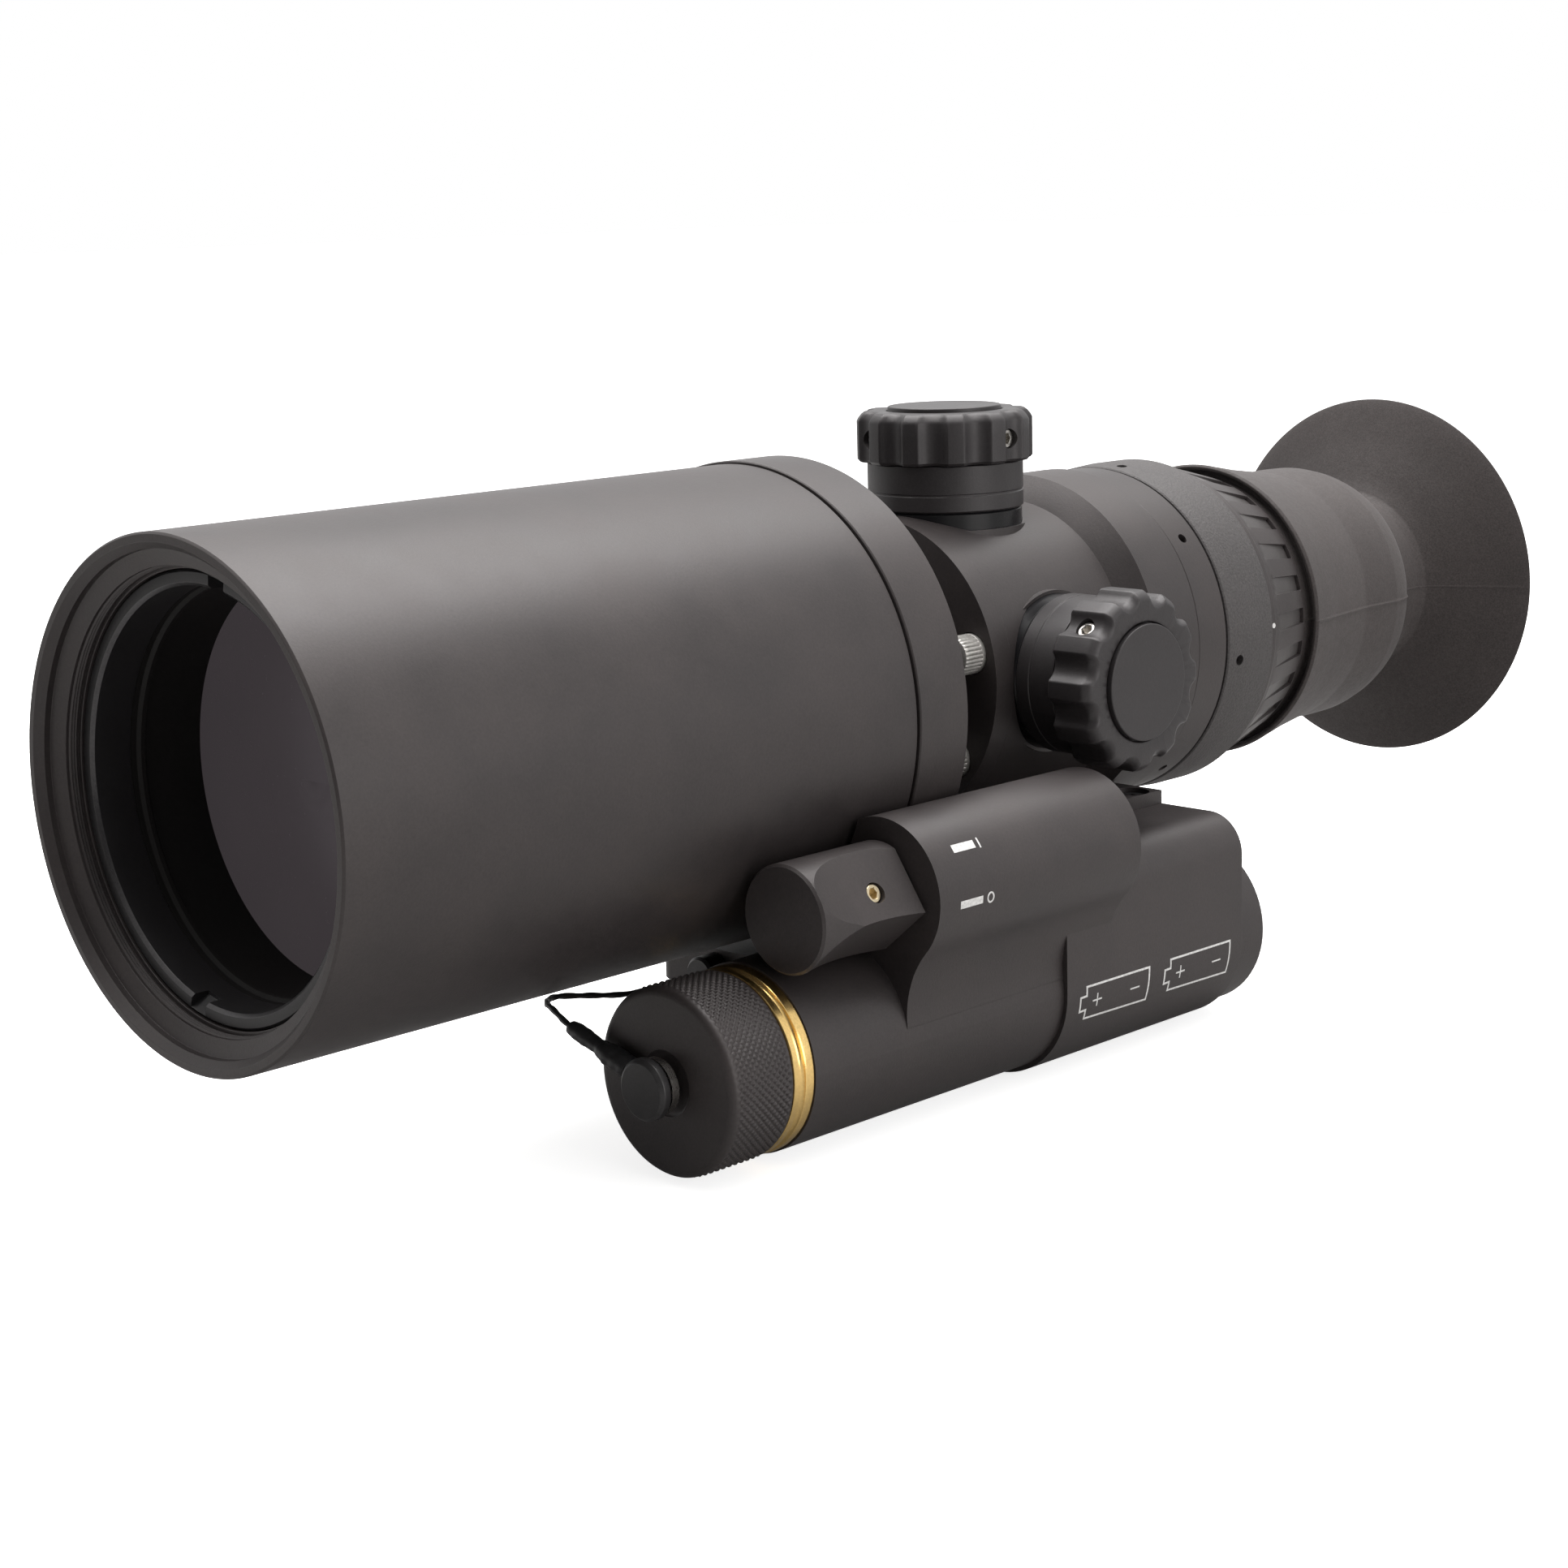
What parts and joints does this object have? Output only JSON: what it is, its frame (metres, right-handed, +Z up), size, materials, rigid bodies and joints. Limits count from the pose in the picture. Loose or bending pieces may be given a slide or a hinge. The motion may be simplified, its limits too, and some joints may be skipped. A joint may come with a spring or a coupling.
{
  "type": "night vision scope",
  "caption": "Tubular night vision weapon sight with large objective, two adjustment turrets, knurled-cap battery tube, rotary switch and flared rubber eyeguard.",
  "frame": {"origin": "centre of the four-hole bolt pattern on the underside of the mounting base", "axes": "+Z up, +Y along the optical axis towards the eyepiece, +X towards the battery tube and windage turret"},
  "size_m": [0.082, 0.2604, 0.0956],
  "materials": {
    "anodised": "matte black hard-anodised aluminium",
    "knob_black": "satin black anodised aluminium",
    "ring_black": "flat black anodised aluminium",
    "textured_grip": "coarse blasted black anodised aluminium",
    "gloss_boss": "gloss black",
    "screw_steel": "bright steel",
    "black_screw": "black oxide steel",
    "brass": "turned brass",
    "carriage_brass": "dull brass",
    "objective_glass": "coated glass, dark purple grey in reflection",
    "glass": "clear optical glass",
    "o_ring_rubber": "black rubber",
    "eyeguard_rubber": "soft matte moulded rubber, fine grain",
    "heat_shrink": "black heat-shrink",
    "cable": "thin black coated wire",
    "battery_can": "printed film over a steel can",
    "liner_plastic": "moulded plastic",
    "tube_potting": "black potted housing",
    "circuit_green": "solder mask on glass-fibre board"
  },
  "bodies": {
    "scope_frame": {"objective_barrel": "anodised", "front_retaining_ring": "ring_black", "lens_spacer_ring": "ring_black", "objective_front_lens": "objective_glass", "objective_rear_lens": "glass", "barrel_o_ring": "o_ring_rubber", "barrel_flange": "anodised", "neck_ring": "anodised", "neck_cap_screws": "screw_steel", "main_body": "anodised", "reticle_guide_ring": "ring_black", "image_intensifier_tube": "tube_potting", "tube_retaining_ring": "ring_black", "rear_collar": "anodised", "collar_o_ring": "o_ring_rubber", "eyepiece_housing": "textured_grip", "housing_set_screws": "black_screw", "rubber_eyeguard": "eyeguard_rubber", "mounting_base": "anodised", "base_screws": "black_screw", "power_housing": "anodised", "power_housing_screws": "black_screw", "brass_thread_ring": "brass", "tether_anchor": "black_screw", "battery_cell_front": "battery_can", "battery_cell_rear": "battery_can", "battery_sleeve": "liner_plastic", "rear_contact": "brass", "rotary_switch": "liner_plastic", "circuit_board": "circuit_green", "wiring_harness": "cable", "elevation_turret_base": "gloss_boss", "windage_turret_base": "gloss_boss"},
    "elevation_turret": {"elevation_drum": "knob_black", "elevation_cap": "knob_black", "elevation_cap_disc": "knob_black", "elevation_set_screws": "screw_steel", "elevation_lead_screw": "screw_steel"},
    "windage_turret": {"windage_drum": "knob_black", "windage_cap": "knob_black", "windage_cap_disc": "knob_black", "windage_set_screws": "screw_steel", "windage_lead_screw": "screw_steel"},
    "reticle_vertical": {"reticle_vertical_carriage": "carriage_brass"},
    "reticle_horizontal": {"reticle_horizontal_carriage": "carriage_brass", "reticle_glass": "glass"},
    "diopter": {"diopter_ring": "anodised"},
    "lens_cell": {"eyepiece_lens_cell": "ring_black", "eyepiece_front_lens": "glass", "eyepiece_rear_lens": "glass", "eyepiece_retaining_ring": "ring_black"},
    "switch": {"switch_knob": "anodised", "switch_knob_set_screw": "brass", "switch_shaft": "screw_steel"},
    "cap_tether": {"tether_lug": "screw_steel", "tether_sleeve": "heat_shrink", "tether_cable": "cable"},
    "battery_cap_body": {"battery_cap": "anodised", "tether_stud": "black_screw", "battery_cap_spring": "screw_steel"}
  },
  "joints": [
    {"name": "elevation_turn", "type": "hinge", "parent": "scope_frame", "child": "elevation_turret", "pos_m": [0, 0, 0.074], "axis": [0, 0, 1], "range_deg": [-700, 700]},
    {"name": "reticle_up_down", "type": "slide", "parent": "scope_frame", "child": "reticle_vertical", "axis": [0, 0, 1], "range_m": [-0.00117, 0.00117]},
    {"name": "windage_turn", "type": "hinge", "parent": "scope_frame", "child": "windage_turret", "pos_m": [0.03, 0, 0.044], "axis": [1, 0, 0], "range_deg": [-700, 700]},
    {"name": "reticle_left_right", "type": "slide", "parent": "reticle_vertical", "child": "reticle_horizontal", "axis": [1, 0, 0], "range_m": [-0.00117, 0.00117]},
    {"name": "diopter_turn", "type": "hinge", "parent": "scope_frame", "child": "diopter", "pos_m": [0, 0.055, 0.044], "axis": [0, 1, 0], "range_deg": [-120, 120]},
    {"name": "lens_cell_focus", "type": "slide", "parent": "scope_frame", "child": "lens_cell", "axis": [0, 1, 0], "range_m": [-0.0025, 0.0025]},
    {"name": "switch_turn", "type": "hinge", "parent": "scope_frame", "child": "switch", "pos_m": [0.037, -0.065, 0.0224], "axis": [0, -1, 0], "range_deg": [0, 45]},
    {"name": "cap_travel", "type": "slide", "parent": "scope_frame", "child": "cap_tether", "axis": [0, -1, 0], "range_m": [0, 0.0075]},
    {"name": "cap_unscrew", "type": "hinge", "parent": "cap_tether", "child": "battery_cap_body", "pos_m": [0.02816, -0.083, 0.00167], "axis": [0, -1, 0], "range_deg": [0, 1800]}
  ],
  "couplings": [
    {"joint": "elevation_turn", "follows": "reticle_up_down", "rad_per_m": 10472},
    {"joint": "windage_turn", "follows": "reticle_left_right", "rad_per_m": 10472},
    {"joint": "diopter_turn", "follows": "lens_cell_focus", "rad_per_m": 837.76},
    {"joint": "cap_unscrew", "follows": "cap_travel", "rad_per_m": 4188.8}
  ]
}
